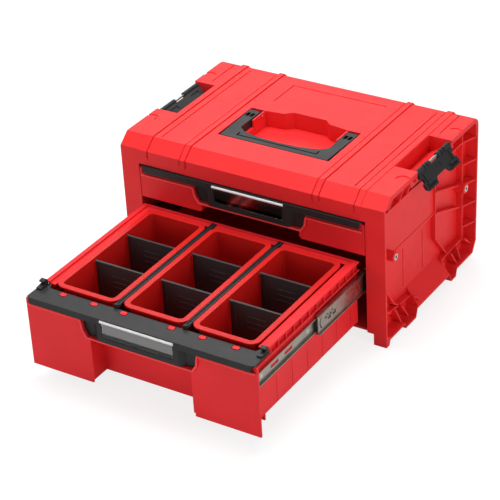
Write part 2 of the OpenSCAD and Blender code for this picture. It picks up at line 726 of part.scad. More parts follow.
middle_front_y = 18.6;
drawer_rail_front_y = wall_t + 0.5;
cage_t = 0.6;
race_gap = 0.3;

// Places across the right-hand slide, measured from the drawer wall outward.
drawer_web_x = tub_half_w + steel_t;
drawer_lip_x = tub_half_w + 4.6;
inner_cage_x = tub_half_w + 5;
middle_web_x = tub_half_w + 6;
middle_in_x = tub_half_w + 2;
middle_out_x = slide_out_x - 2.8;
outer_cage_x = slide_out_x - 2.3;
cabinet_lip_x = slide_out_x - 8.2;
inner_ball_x = tub_half_w + 3.5;
outer_ball_x = slide_out_x - 4;

function cabinet_race() = cabinet_rail_h / 2 - steel_t;
function outer_row_z() = (cabinet_race() + middle_rail_h / 2) / 2;
function inner_row_z() = (middle_rail_h / 2 - steel_t + drawer_rail_h / 2) / 2;

module screw_holes(z, x0, x1) {
  for (y = rail_pad_y) x_rod(screw_head_r, x0, x1, y, z);
}
module cabinet_rail_solid(z) {
  difference() {
    union() {
      box(slide_out_x - steel_t, slide_out_x, rail_front_y, rail_rear_y,
        z - cabinet_rail_h / 2, z + cabinet_rail_h / 2);
      for (s = [-1, 1])
        translate([0, 0, z + s * (cabinet_rail_h / 2 - steel_t / 2)])
          box(cabinet_lip_x, slide_out_x, rail_front_y, rail_rear_y, -steel_t / 2,
            steel_t / 2);
    }
    screw_holes(z, slide_out_x - steel_t - 1, slide_out_x + 1);
    for (y = [rail_pad_y[0] + 46, rail_rear_y - 94.4])
      box(slide_out_x - 3, slide_out_x + 1, y, y + 26, z - 4, z + 4);
  }
}
module middle_rail_solid(z) {
  difference() {
    union() {
      box(middle_web_x, middle_web_x + steel_t, middle_front_y, rail_rear_y,
        z - middle_rail_h / 2, z + middle_rail_h / 2);
      for (s = [-1, 1])
        translate([0, 0, z + s * (middle_rail_h / 2 - steel_t / 2)])
          box(middle_in_x, middle_out_x, middle_front_y, rail_rear_y, -steel_t / 2,
            steel_t / 2);
    }
    for (y = [middle_front_y + 19, middle_front_y + 33, rail_rear_y - 70])
      box(middle_web_x - 1, middle_web_x + 3, y, y + 9, z, z + 6);
    for (y = [middle_front_y + 26, middle_front_y + 40])
      box(middle_web_x - 1, middle_web_x + 3, y, y + 9, z - 5, z + 1.5);
    for (y = [rail_pad_y[1] - 16.2, rail_rear_y - 22.4])
      x_rod(2.2, middle_web_x - 1, middle_web_x + 3, y, z);
    // The curved slit of the ball stop near the front end.
    intersection() {
      difference() {
        x_rod(11, middle_web_x - 1, middle_web_x + 3, middle_front_y + 15, z);
        x_rod(9, middle_web_x - 2, middle_web_x + 4, middle_front_y + 15, z);
      }
      box(middle_web_x - 3, middle_web_x + 5, middle_front_y + 2, middle_front_y + 10,
        z - 9, z + 9);
    }
  }
}
module drawer_rail_solid(z) {
  difference() {
    union() {
      box(tub_half_w, drawer_web_x, drawer_rail_front_y, rail_rear_y,
        z - drawer_rail_h / 2, z + drawer_rail_h / 2);
      for (s = [-1, 1])
        translate([0, 0, z + s * (drawer_rail_h / 2 - steel_t / 2)])
          box(tub_half_w, drawer_lip_x, drawer_rail_front_y, rail_rear_y, -steel_t / 2,
            steel_t / 2);
    }
    screw_holes(z, tub_half_w - 1, drawer_web_x + 1);
    for (y = [48, 84, rail_rear_y - 88.4, rail_rear_y - 52.4])
      box(tub_half_w - 1, drawer_web_x + 1, y, y + 20, z - 2.5, z + 2.5);
  }
}
cage_y = 22;

module cage_rows(web_x, ball_x, row_z, z, y0) {
  box(web_x, web_x + cage_t, y0, y0 + cage_l, z - row_z - cage_t / 2, z + row_z + cage_t / 2);
  for (s = [-1, 1]) {
    translate([0, 0, z + s * row_z])
      box(min(web_x, ball_x - 1), max(web_x, ball_x + 1), y0, y0 + cage_l, -cage_t / 2,
        cage_t / 2);
    for (i = [0 : balls_per_row - 1])
      translate([ball_x, y0 + 8 + i * (cage_l - 16) / (balls_per_row - 1), z + s * row_z])
        sphere(r = ball_r, $fn = 24);
  }
}
module outer_cage(z, open) {
  translate([0, -open / 4, 0])
    cage_rows(outer_cage_x, outer_ball_x, outer_row_z(), z, cage_y + travel / 4);
}
module inner_cage(z, open) {
  translate([0, -open * 3 / 4, 0])
    cage_rows(inner_cage_x, inner_ball_x, inner_row_z(), z,
      middle_front_y + bumper_l + 3 + travel / 4);
}
bumper_l = 9;
module rail_bumper(z) {
  box(drawer_web_x + race_gap, middle_web_x, middle_front_y, middle_front_y + bumper_l,
    z - drawer_rail_h / 2 + steel_t + race_gap, z + drawer_rail_h / 2 - steel_t - race_gap);
}
module flush_screws(head_x, shank_x, z) {
  for (y = rail_pad_y) {
    x_rod(screw_head_r, head_x[0], head_x[1], y, z);
    x_rod(screw_r, shank_x[0], shank_x[1], y, z);
  }
}

module lower_left_cabinet_rail() {
  color(steel) in_frame() mirror([1, 0, 0]) cabinet_rail_solid(lower_slide_z);
}
module lower_right_cabinet_rail() {
  color(steel) in_frame() cabinet_rail_solid(lower_slide_z);
}
module upper_left_cabinet_rail() {
  color(steel) in_frame() mirror([1, 0, 0]) cabinet_rail_solid(upper_slide_z);
}
module upper_right_cabinet_rail() {
  color(steel) in_frame() cabinet_rail_solid(upper_slide_z);
}
module lower_left_middle_rail() {
  color(steel) in_frame() translate([0, -lower_open / 2, 0]) mirror([1, 0, 0])
    middle_rail_solid(lower_slide_z);
}
module lower_right_middle_rail() {
  color(steel) in_frame() translate([0, -lower_open / 2, 0]) middle_rail_solid(lower_slide_z);
}
module upper_left_middle_rail() {
  color(steel) in_frame() mirror([1, 0, 0]) middle_rail_solid(upper_slide_z);
}
module upper_right_middle_rail() {
  color(steel) in_frame() middle_rail_solid(upper_slide_z);
}
module lower_left_drawer_rail() {
  color(steel) in_frame() translate([0, -lower_open, 0]) mirror([1, 0, 0])
    drawer_rail_solid(lower_slide_z);
}
module lower_right_drawer_rail() {
  color(steel) in_frame() translate([0, -lower_open, 0]) drawer_rail_solid(lower_slide_z);
}
module upper_left_drawer_rail() {
  color(steel) in_frame() mirror([1, 0, 0]) drawer_rail_solid(upper_slide_z);
}
module upper_right_drawer_rail() {
  color(steel) in_frame() drawer_rail_solid(upper_slide_z);
}
module lower_outer_ball_cages() {
  color(steel) in_frame() both_sides() outer_cage(lower_slide_z, lower_open);
}
module lower_inner_ball_cages() {
  color(steel) in_frame() both_sides() inner_cage(lower_slide_z, lower_open);
}
module upper_outer_ball_cages() {
  color(steel) in_frame() both_sides() outer_cage(upper_slide_z, 0);
}
module upper_inner_ball_cages() {
  color(steel) in_frame() both_sides() inner_cage(upper_slide_z, 0);
}
module lower_rail_bumpers() {
  color(black) in_frame() translate([0, -lower_open / 2, 0]) both_sides() rail_bumper(lower_slide_z);
}
module upper_rail_bumpers() {
  color(black) in_frame() both_sides() rail_bumper(upper_slide_z);
}
module cabinet_rail_screws() {
  color(steel) in_frame() both_sides() for (z = [lower_slide_z, upper_slide_z])
    flush_screws([slide_out_x - steel_t, slide_out_x],
      [slide_out_x - 0.5, slide_out_x + screw_l - 0.2], z);
}
module drawer_screws_solid(z) {
  both_sides()
    flush_screws([tub_half_w, drawer_web_x], [tub_half_w - 2, tub_half_w + 0.5], z);
}
module lower_drawer_screws() {
  color(steel) in_frame() translate([0, -lower_open, 0]) drawer_screws_solid(lower_slide_z);
}
module upper_drawer_screws() {
  color(steel) in_frame() drawer_screws_solid(upper_slide_z);
}

// ------------------------------------------------------------------- drawers

front_half_w = opening_half_w - front_gap;
front_t = 3;
deck_t = 2;
bin_gap = 0.5;
deck_gap = 1.2;
deck_in_x = tub_half_w - side_ledge;
// Three bins and two strips fill the width between the ledges.
bin_w = (deck_in_x - deck_gap - strip_w - 2 * bin_gap) / 1.5;
bin_pitch = bin_w + strip_w + 2 * bin_gap;
bin_front_y = grip_recess + 5;
bin_rear_y = tub_l - tub_t - bin_land;
bin_l = bin_rear_y - bin_front_y;
shelf_t = 2.4;
seam_pitch = 41;

// Height marks of a drawer front: bottom, top of the blocks, handle shelf, top of the trim.
lower_marks = [floor_gap + 0.5, lower_block_top, lower_rim_z - 42.4, lower_rim_z - 4];
upper_marks = [upper_block_z, upper_block_top, upper_block_z + 16, opening_top - 1.2];

// The red front: two hollow blocks, the recessed middle and the shelf under the handle.
module drawer_front(marks, wall_bottom, wall_top) {
  bottom = marks[0];
  top = marks[1];
  shelf = marks[2];
  both_sides() {
    cross_plate([[grip_half_w, bottom], [front_half_w, bottom],
      [front_half_w, marks[3] - 4.7], [trim_half_w + 0.4, marks[3] - 4.7],
      [trim_half_w + 0.4, top], [grip_half_w + 9, top],
      [grip_half_w + 6.5, shelf + 9], [grip_half_w, shelf]], 0, front_t);
    box(grip_half_w - tub_t, grip_half_w, 0, grip_recess + 2.2, wall_bottom, shelf);
    box(grip_half_w + 9, trim_half_w, front_t - 1.8, front_t, top - 1, wall_top);
  }
  box(-grip_half_w, grip_half_w, 0, grip_recess + 2.2, shelf - shelf_t, shelf);
  box(-tub_half_w + 1, tub_half_w - 1, grip_recess, grip_recess + 2.2, wall_bottom,
    wall_top);
}
module tub_walls(floor_z, rim_z) {
  difference() {
    box(-tub_half_w, tub_half_w, front_t - 0.5, tub_l, floor_z, rim_z);
    box(-tub_half_w + tub_t, tub_half_w - tub_t, grip_recess + 1, tub_l - tub_t,
      floor_z + tub_t, rim_z + 1);
    box(-tub_half_w + tub_t, tub_half_w - tub_t, 0, grip_recess + 1.5, floor_z - 1,
      rim_z + 1);
  }
}
module side_seams(floor_z, top_z) {
  both_sides() for (y = [62 : seam_pitch : tub_l - 20])
    box(tub_half_w - 0.6, tub_half_w + 1, y - 0.6, y + 0.6, floor_z - 1, top_z);
}
module screw_sockets(z) {
  both_sides() for (y = rail_pad_y)
    x_rod(screw_r, tub_half_w - 2, tub_half_w + 1, y, z);
}
rim_band_z = lower_slide_z + cabinet_rail_h / 2 + 2;
rim_out_x = tub_half_w + 4.6;
trim_back_y = 38.6;

module lower_tub_rim() {
  both_sides() {
    box(tub_half_w - 1, rim_out_x, trim_back_y + 0.6, tub_l, lower_rim_z - deck_t,
      lower_rim_z);
    box(tub_half_w - 1, rim_out_x, front_t + 2, tub_l, rim_band_z, rim_band_z + 2);
    for (y = [46 : seam_pitch / 2 : tub_l - 4])
      box(tub_half_w - 1, rim_out_x - 0.6, y - 0.9, y + 0.9, rim_band_z, lower_rim_z - 1);
    box(deck_in_x, tub_half_w - 1, trim_back_y + 1.4, tub_l - 1, lower_rim_z - 3 - deck_t,
      lower_rim_z - 3);
  }
  box(-tub_half_w + 1, tub_half_w - 1, bin_rear_y + bin_gap, tub_l - 1,
    lower_rim_z - 3 - deck_t, lower_rim_z - 3);
}
tab_side_x = [bin_w / 2 - 13.2, bin_pitch - 24.8, bin_pitch + 29];
tab_x = [for (s = [-1, 1], x = tab_side_x) s * x];
tab_y = 24.2;
tab_w = 10.5;
tab_l = 7.6;
tab_r = 3;
tab_gap = 0.9;
// A rounded tab, or the slot round it, between two heights.
module tab_solid(x, grow, z0, z1) {
  translate([x, tab_y, z0]) linear_extrude(z1 - z0)
    round_rect(tab_w + 2 * grow, tab_l + 2 * grow, tab_r + grow);
}

module lower_drawer_tub() {
  color(red) in_frame() translate([0, -lower_open, 0]) difference() {
    union() {
      drawer_front(lower_marks, floor_gap + 6, lower_marks[3] - trim_t - 0.3);
      tub_walls(lower_tub_z, lower_marks[3] - trim_t - 0.3);
      difference() {
        tub_walls(lower_tub_z, lower_rim_z);
        box(-tub_half_w - 1, tub_half_w + 1, -1, trim_back_y + 0.6,
          lower_marks[3] - trim_t - 0.3, lower_rim_z + 1);
      }
      lower_tub_rim();
      for (x = tab_x) {
        box(x - tab_w / 2, x + tab_w / 2, tab_y - tab_l / 2, grip_recess + 1,
          lower_marks[3] - trim_t - 6, lower_marks[3] - trim_t - 0.3);
        tab_solid(x, 0, lower_marks[3] - trim_t - 6, lower_marks[3] + 0.6);
      }
    }
    side_seams(lower_tub_z, lower_slide_z - cabinet_rail_h / 2 - 2);
    screw_sockets(lower_slide_z);
    both_sides() for (y = [60 : 60 : 240])
      box(tub_half_w - tub_t - 1, tub_half_w - tub_t + 0.5, y - 3, y + 3, lower_tub_z + 10,
        lower_tub_z + 80);
  }
}
module upper_drawer_tub() {
  color(red) in_frame() difference() {
    union() {
      drawer_front(upper_marks, upper_tub_z, upper_marks[3] - trim_t - 0.3);
      tub_walls(upper_tub_z, upper_marks[3] - trim_t - 0.3);
      both_sides()
        box(tub_half_w - 1, rim_out_x, trim_back_y, tub_l, upper_marks[3] - trim_t - 2.3,
          upper_marks[3] - trim_t - 0.3);
    }
    side_seams(upper_tub_z, upper_slide_z - cabinet_rail_h / 2 + 6);
    screw_sockets(upper_slide_z);
  }
}

// --------------------------------------------------------------------- trims

// Outline of the trim plate seen from above, from its front edge to its back edge.
trim_plate = [
  [-trim_half_w, -trim_proud + 3], [-trim_half_w + 6, -trim_proud],
  [trim_half_w - 6, -trim_proud], [trim_half_w, -trim_proud + 3], [trim_half_w, trim_back_y],
  [deck_in_x + 6, trim_back_y], [deck_in_x + 2, grip_recess], [-deck_in_x - 2, grip_recess],
  [-deck_in_x - 6, trim_back_y], [-trim_half_w, trim_back_y]
];
// Outline of the label holder seen from above.
holder_end = 14;
holder_plan = [
  [-holder_half_w, -trim_proud], [holder_half_w, -trim_proud],
  [holder_half_w + holder_end, 7], [holder_half_w + holder_end, 24],
  [-holder_half_w - holder_end, 24], [-holder_half_w - holder_end, 7]
];
window_recess = 2.5;
card_t = 0.6;
window_t = 1.2;
window_edge_h = 4;

module trim_solid(marks, slots) {
  top = marks[3];
  holder_z = top - holder_h;
  window_z = top - 6 - window_h;
  difference() {
    union() {
      flat_plate(trim_plate, top - trim_t, top);
      both_sides()
        box(holder_half_w, trim_half_w - 4, -trim_proud + 0.2, -0.3, top - trim_band_h,
          top - 1);
      flat_plate(holder_plan, holder_z + 0.3, top - 1);
      both_sides()
        cross_plate([[holder_half_w + 8, marks[2] + 0.6], [grip_half_w - 1, marks[2] + 0.6],
          [grip_half_w + 5, marks[2] + 9.5], [grip_half_w + 8, marks[1] + 1],
          [grip_half_w + 8, top - 1], [holder_half_w + 8, top - 1]], front_t + 0.4, 18);
    }
    box(-window_half_w, window_half_w, -trim_proud - 1, -trim_proud + window_recess,
      window_z, window_z + window_h);
    box(-holder_half_w - 4, holder_half_w + 4, 1.5, 22, holder_z - 1, top - 6);
    if (slots)
      for (x = tab_x)
        tab_solid(x, tab_gap, marks[2] - 1, top + 1);
  }
}
module label_card_solid(marks) {
  window_z = marks[3] - 6 - window_h;
  back_y = -trim_proud + window_recess;
  box(-window_half_w + 1, window_half_w - 1, back_y - card_t, back_y, window_z + 1,
    window_z + window_h - 1);
}
module label_window_solid(marks) {
  window_z = marks[3] - 6 - window_h;
  back_y = -trim_proud + window_recess - card_t;
  box(-window_half_w + 0.3, window_half_w - 0.3, back_y - window_t, back_y, window_z + 0.3,
    window_z + window_h - 0.3);
  box(-window_half_w + 0.3, window_half_w - 0.3, back_y - window_t - 0.6, back_y,
    window_z + window_h - window_edge_h, window_z + window_h - 0.3);
}
module lower_drawer_trim() {
  color(black) in_frame() translate([0, -lower_open, 0]) trim_solid(lower_marks, true);
}
module upper_drawer_trim() {
  color(black) in_frame() trim_solid(upper_marks, false);
}
module lower_label_card() {
  color(black) in_frame() translate([0, -lower_open, 0]) label_card_solid(lower_marks);
}
module upper_label_card() {
  color(black) in_frame() label_card_solid(upper_marks);
}
module lower_label_window() {
  color(clear_plastic) in_frame() translate([0, -lower_open, 0]) label_window_solid(lower_marks);
}
module upper_label_window() {
  color(clear_plastic) in_frame() label_window_solid(upper_marks);
}
// Hooked clips that hold the ends of the lower trim on the drawer.
module lower_trim_clips() {
  clip_x = trim_half_w - 9;
  top = lower_marks[3];
  color(black) in_frame() translate([0, -lower_open, 0]) both_sides()
    side_plate([[19, top + 0.1], [37, top + 0.1], [37, top + 8], [33.5, top + 11],
      [27, top + 10], [27.5, top + 7.5], [32, top + 7], [32.5, top + 4.5], [27, top + 3.4],
      [19, top + 2.4]], clip_x, clip_x + 8);
}

// ---------------------------------------------------------------------- bins

bin_floor_z = lower_tub_z + tub_t + 0.3;
bin_mid_y = bin_front_y + bin_l / 2;
bin_rim_t = 2;
bin_body_gap = bin_rim_w - bin_t;
bin_rib_h = 2.6;
divider_fit = 0.35;
divider_top_z = lower_rim_z - 3;
divider_half_w = bin_w / 2 - bin_rim_w - divider_fit;

module bin_solid(x) {
  body_w = bin_w - 2 * bin_body_gap;
  body_l = bin_l - 2 * bin_body_gap;
  inside_w = bin_w - 2 * bin_rim_w;
  inside_l = bin_l - 2 * bin_rim_w;
  translate([x, bin_mid_y - lower_open, 0]) {
    difference() {
      union() {
        translate([0, 0, bin_floor_z]) linear_extrude(lower_rim_z - bin_rim_t - bin_floor_z)
          round_rect(body_w, body_l, bin_corner_r - bin_body_gap);
        translate([0, 0, lower_rim_z - bin_rim_t]) linear_extrude(bin_rim_t)
          round_rect(bin_w, bin_l, bin_corner_r);
      }
      translate([0, 0, bin_floor_z + bin_t]) linear_extrude(lower_rim_z)
        round_rect(inside_w, inside_l, bin_corner_r - bin_rim_w);
    }
    for (y = [front_divider_y, rear_divider_y], s = [-1, 1], d = [-1, 1])
      translate([0, y - bin_mid_y + d * (divider_t / 2 + divider_fit + 0.7), 0])
        box(s > 0 ? inside_w / 2 - bin_rib_h : -inside_w / 2 - 0.5,
          s > 0 ? inside_w / 2 + 0.5 : -inside_w / 2 + bin_rib_h, -0.7, 0.7,
          bin_floor_z + bin_t, divider_top_z - 2);
  }
}
module divider_solid(x, y) {
  lift = 0.3;
  bottom = bin_floor_z + bin_t + lift;
  translate([x, y - lower_open, 0]) {
    cross_plate([[-divider_half_w, bottom + 3], [-divider_half_w + 3, bottom],
      [divider_half_w - 3, bottom], [divider_half_w, bottom + 3],
      [divider_half_w, divider_top_z], [-divider_half_w, divider_top_z]],
      -divider_t / 2, divider_t / 2);
    box(-divider_half_w + 2, divider_half_w - 2, -divider_t / 2 - 1.2, divider_t / 2 + 0.2,
      divider_top_z - 1.6, divider_top_z);
    for (i = [0 : 2])
      box(-15, 15, -divider_t / 2 - 0.5, 0, divider_top_z - 20 - 9 * i,
        divider_top_z - 19 - 9 * i);
    box(-divider_half_w + 9, -divider_half_w + 10, -divider_t / 2 - 0.5, 0, bottom + 8,
      divider_top_z - 4);
  }
}
module left_bin() {
  color(red) in_frame() bin_solid(-bin_pitch);
}
module centre_bin() {
  color(red) in_frame() bin_solid(0);
}
module right_bin() {
  color(red) in_frame() bin_solid(bin_pitch);
}
module left_front_divider() {
  color(black) in_frame() divider_solid(-bin_pitch, front_divider_y);
}
module left_rear_divider() {
  color(black) in_frame() divider_solid(-bin_pitch, rear_divider_y);
}
module centre_front_divider() {
  color(black) in_frame() divider_solid(0, front_divider_y);
}
module centre_rear_divider() {
  color(black) in_frame() divider_solid(0, rear_divider_y);
}
module right_front_divider() {
  color(black) in_frame() divider_solid(bin_pitch, front_divider_y);
}
module right_rear_divider() {
  color(black) in_frame() divider_solid(bin_pitch, rear_divider_y);
}

// A black strip with two ridges that covers the gap between two bins.
module bin_strip_solid(x) {
  strip_z = lower_rim_z - 3;
  strip_y0 = grip_recess + 0.4;
  strip_y1 = tub_l - tub_t - 1;
  translate([x, -lower_open, 0]) {
    box(-strip_w / 2, strip_w / 2, strip_y0, strip_y1, strip_z, strip_z + 1.6);
    for (s = [-1, 1])
      box(s * 2.6 - 0.8, s * 2.6 + 0.8, strip_y0 + 4, strip_y1, strip_z + 1.6,
        strip_z + 3);
    box(-strip_w / 2 + 1, strip_w / 2 - 1, strip_y0, strip_y0 + 4, strip_z + 1.6,
      strip_z + 4.6);
    box(-3, 3, grip_recess + 2.4, grip_recess + 4.4, strip_z - 26, strip_z + 1);
  }
}
module left_bin_strip() {
  color(black) in_frame() bin_strip_solid(-bin_pitch / 2);
}
module right_bin_strip() {
  color(black) in_frame() bin_strip_solid(bin_pitch / 2);
}

top_cover();
left_side_frame();
right_side_frame();
back_panel();
base_plate();
carry_handle();
handle_pins();
left_latch();
right_latch();
latch_pins();
side_bushes();
lower_left_cabinet_rail();
lower_left_middle_rail();
lower_left_drawer_rail();
lower_right_cabinet_rail();
lower_right_middle_rail();
lower_right_drawer_rail();
upper_left_cabinet_rail();
upper_left_middle_rail();
upper_left_drawer_rail();
upper_right_cabinet_rail();
upper_right_middle_rail();
upper_right_drawer_rail();
lower_outer_ball_cages();
lower_inner_ball_cages();
upper_outer_ball_cages();
upper_inner_ball_cages();
lower_rail_bumpers();
upper_rail_bumpers();
cabinet_rail_screws();
lower_drawer_screws();
upper_drawer_screws();
lower_drawer_tub();
lower_drawer_trim();
lower_label_card();
lower_label_window();
lower_trim_clips();
left_bin();
centre_bin();
right_bin();
left_bin_strip();
right_bin_strip();
left_front_divider();
left_rear_divider();
centre_front_divider();
centre_rear_divider();
right_front_divider();
right_rear_divider();
upper_drawer_tub();
upper_drawer_trim();
upper_label_card();
upper_label_window();
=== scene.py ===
"""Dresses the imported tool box, in metres: materials, thin moulded trim, floor, light and camera."""

import json
import math

import bpy
from mathutils import Matrix, Vector


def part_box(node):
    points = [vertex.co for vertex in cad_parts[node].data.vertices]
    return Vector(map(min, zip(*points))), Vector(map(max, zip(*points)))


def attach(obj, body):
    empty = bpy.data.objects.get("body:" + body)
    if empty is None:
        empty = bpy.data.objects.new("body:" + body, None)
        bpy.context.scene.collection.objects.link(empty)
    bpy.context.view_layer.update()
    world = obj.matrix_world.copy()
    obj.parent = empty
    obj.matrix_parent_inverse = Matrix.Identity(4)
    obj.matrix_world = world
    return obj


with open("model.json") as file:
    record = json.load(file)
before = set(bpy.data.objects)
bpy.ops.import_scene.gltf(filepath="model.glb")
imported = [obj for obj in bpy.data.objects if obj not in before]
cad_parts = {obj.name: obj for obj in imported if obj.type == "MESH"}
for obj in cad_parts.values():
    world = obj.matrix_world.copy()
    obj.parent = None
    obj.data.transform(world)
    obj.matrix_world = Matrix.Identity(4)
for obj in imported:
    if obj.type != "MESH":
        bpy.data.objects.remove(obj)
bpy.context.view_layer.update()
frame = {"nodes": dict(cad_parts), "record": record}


# ------------------------------------------------------------------ materials

# The part of a noise's values that a ramp spreads out, and the whole range of a factor.
NOISE_MIDDLE = (0.3, 0.7)
FULL = (0.0, 1.0)
# How round the edges look.
PLASTIC_EDGE_RADIUS = 0.0007
STEEL_EDGE_RADIUS = 0.0003
PLASTIC_IOR = 1.49
# The strong reflection of the label windows, which the photograph shows above their lowest third.
WINDOW_FILM_IOR = 2.8
WINDOW_FILM_ROUGHNESS = 0.16
WINDOW_FILM_START = (0.26, 0.34)


class Shader:
    """A material with its Principled shader, and short ways to add nodes to it."""

    def __init__(self, name):
        self.material = bpy.data.materials.new(name)
        self.material.use_nodes = True
        self.tree = self.material.node_tree
        self.bsdf = self.tree.nodes["Principled BSDF"]
        self.point = self.node("ShaderNodeTexCoord").outputs["Object"]

    def node(self, kind, **settings):
        made = self.tree.nodes.new(kind)
        for key, value in settings.items():
            setattr(made, key, value)
        return made

    def link(self, source, target):
        self.tree.links.new(source, target)

    def drive(self, socket, source):
        """Links an output to a socket of the Principled shader."""
        self.link(source, self.bsdf.inputs[socket])

    def fix(self, **values):
        """Sets sockets of the Principled shader; an underscore in a name stands for a space."""
        for name, value in values.items():
            self.bsdf.inputs[name.replace("_", " ")].default_value = value

    def stretched(self, scale):
        """The object's coordinates, scaled along each axis."""
        mapping = self.node("ShaderNodeMapping")
        mapping.inputs["Scale"].default_value = scale
        self.link(self.point, mapping.inputs["Vector"])
        return mapping.outputs["Vector"]

    def noise(self, scale, detail, roughness=0.5, point=None):
        made = self.node("ShaderNodeTexNoise")
        made.inputs["Scale"].default_value = scale
        made.inputs["Detail"].default_value = detail
        made.inputs["Roughness"].default_value = roughness
        self.link(point or self.point, made.inputs["Vector"])
        return made.outputs["Fac"]

    def ranged(self, value, source, target):
        """A value mapped from one range to another, and kept within the second."""
        made = self.node("ShaderNodeMapRange")
        made.inputs["From Min"].default_value, made.inputs["From Max"].default_value = source
        made.inputs["To Min"].default_value, made.inputs["To Max"].default_value = target
        self.link(value, made.inputs["Value"])
        return made.outputs["Result"]

    def mixed(self, factor, first, second):
        """A colour between two others; each is a colour or an output."""
        made = self.node("ShaderNodeMix", data_type="RGBA")
        for slot, value in ((0, factor), (6, first), (7, second)):
            if isinstance(value, tuple):
                made.inputs[slot].default_value = value
            else:
                self.link(value, made.inputs[slot])
        return made.outputs[2]

    def math(self, operation, first, second):
        """Two values, each a number or an output, put together and kept between 0 and 1."""
        made = self.node("ShaderNodeMath", operation=operation, use_clamp=True)
        for slot, value in enumerate((first, second)):
            if isinstance(value, float):
                made.inputs[slot].default_value = value
            else:
                self.link(value, made.inputs[slot])
        return made.outputs["Value"]

    def rounded_edges(self, radius):
        """Normals that round every edge to this radius, and a mask that is 1 on those edges."""
        bevel = self.node("ShaderNodeBevel", samples=6)
        bevel.inputs["Radius"].default_value = radius
        geometry = self.node("ShaderNodeNewGeometry")
        turn = self.node("ShaderNodeVectorMath", operation="DOT_PRODUCT")
        self.link(bevel.outputs["Normal"], turn.inputs[0])
        self.link(geometry.outputs["Normal"], turn.inputs[1])
        return bevel.outputs["Normal"], self.ranged(turn.outputs["Value"], (0.995, 0.80), FULL)

    def bump(self, height, strength, distance, normal=None):
        made = self.node("ShaderNodeBump")
        made.inputs["Strength"].default_value = strength
        made.inputs["Distance"].default_value = distance
        self.link(height, made.inputs["Height"])
        if normal is not None:
            self.link(normal, made.inputs["Normal"])
        return made.outputs["Normal"]


def shade(colour, factor):
    """A colour made lighter or darker, with its alpha."""
    return tuple(min(1.0, c * factor) for c in colour) + (1.0,)


def moulded_plastic(name, colour, roughness, grain, edge_wear_and_highlight, edge_wear_and_highlight_shade=1.5, sheen=0.16):
    """Injection-moulded plastic: faint flow clouds, fine grain, rare scratches, and edges painted lighter
    in patches, partly wear and partly painted highlight.
    """
    s = Shader(name)
    normal, edges = s.rounded_edges(PLASTIC_EDGE_RADIUS)

    clouds = s.ranged(s.noise(scale=9.0, detail=4.0, roughness=0.6), NOISE_MIDDLE, FULL)
    flow = s.mixed(clouds, shade(colour, 0.93), shade(colour, 1.05))
    patches = s.ranged(s.noise(scale=160.0, detail=4.0, roughness=0.7), (0.35, 0.65), (0.25, 1.0))
    # Edges lighter in patches: partly wear, partly painted highlight.
    worn_and_highlit_edges = s.math("MULTIPLY", s.math("MULTIPLY", edges, patches), edge_wear_and_highlight)
    s.drive("Base Color", s.mixed(worn_and_highlit_edges, flow, shade(colour, edge_wear_and_highlight_shade)))

    strokes = s.noise(scale=70.0, detail=6.0, roughness=0.7, point=s.stretched((1.0, 0.12, 1.0)))
    scratches = s.ranged(strokes, (0.62, 0.75), (0.0, 0.10))
    dull_spots = s.noise(scale=45.0, detail=5.0, roughness=0.6)
    polish = s.ranged(dull_spots, NOISE_MIDDLE, (roughness - 0.04, roughness + 0.05))
    s.drive("Roughness", s.math("ADD", polish, scratches))

    fine_grain = s.noise(scale=1500.0, detail=2.0, roughness=0.6)
    s.drive("Normal", s.bump(fine_grain, strength=grain, distance=0.00012, normal=normal))
    s.fix(IOR=PLASTIC_IOR, Specular_IOR_Level=sheen)
    return s.material


def zinc_steel(name, colour, roughness, streak):
    """Zinc-plated strip: long rolling streaks, cloudy plating and dull patches."""
    s = Shader(name)
    normal, edges = s.rounded_edges(STEEL_EDGE_RADIUS)
    streaks = s.noise(scale=900.0, detail=3.0, roughness=0.6, point=s.stretched(streak))
    clouds = s.noise(scale=60.0, detail=5.0, roughness=0.65)

    plating = s.mixed(s.ranged(clouds, NOISE_MIDDLE, FULL), shade(colour, 0.84), shade(colour, 1.06))
    s.drive("Base Color", s.mixed(s.math("MULTIPLY", edges, 0.6), plating, shade(colour, 1.3)))
    s.fix(Metallic=1.0)

    dullness = s.math("ADD", streaks, s.math("MULTIPLY", clouds, 0.4))
    s.drive("Roughness", s.ranged(dullness, (0.4, 1.0), (roughness - 0.1, roughness + 0.16)))
    s.drive("Normal", s.bump(streaks, strength=0.18, distance=0.00005, normal=normal))
    return s.material


def clear_plastic(name):
    """The clear label window, with faint haze, fine scratches and a bright reflection."""
    s = Shader(name)
    s.fix(Base_Color=(0.96, 0.97, 0.98, 1.0), Transmission_Weight=1.0, IOR=PLASTIC_IOR)

    height = s.node("ShaderNodeSeparateXYZ")
    s.link(s.node("ShaderNodeTexCoord").outputs["Generated"], height.inputs[0])
    s.drive("Coat Weight", s.ranged(height.outputs["Z"], WINDOW_FILM_START, (0.05, 1.0)))
    s.fix(Coat_IOR=WINDOW_FILM_IOR, Coat_Roughness=WINDOW_FILM_ROUGHNESS)

    scratches = s.noise(scale=300.0, detail=5.0, roughness=0.7, point=s.stretched((0.2, 1.0, 1.0)))
    s.drive("Roughness", s.ranged(scratches, (0.45, 0.75), (0.04, 0.22)))
    s.drive("Normal", s.bump(s.noise(scale=120.0, detail=2.0), strength=0.06, distance=0.0002))
    return s.material


def window_edge_highlight_plastic(name):
    """The bead along the top of a label window, pale grey as a painted highlight on the window's clear
    edge.
    """
    s = Shader(name)
    # The noise varies the pale grey of the painted highlight.
    haze = s.noise(scale=220.0, detail=4.0, roughness=0.6, point=s.stretched((0.15, 1.0, 1.0)))
    greys = (0.66, 0.65, 0.63, 1.0), (0.82, 0.80, 0.78, 1.0)
    s.drive("Base Color", s.mixed(s.ranged(haze, NOISE_MIDDLE, FULL), *greys))
    s.drive("Roughness", s.ranged(haze, NOISE_MIDDLE, (0.18, 0.34)))
    s.drive("Normal", s.bump(haze, strength=0.1, distance=0.0001))
    return s.material


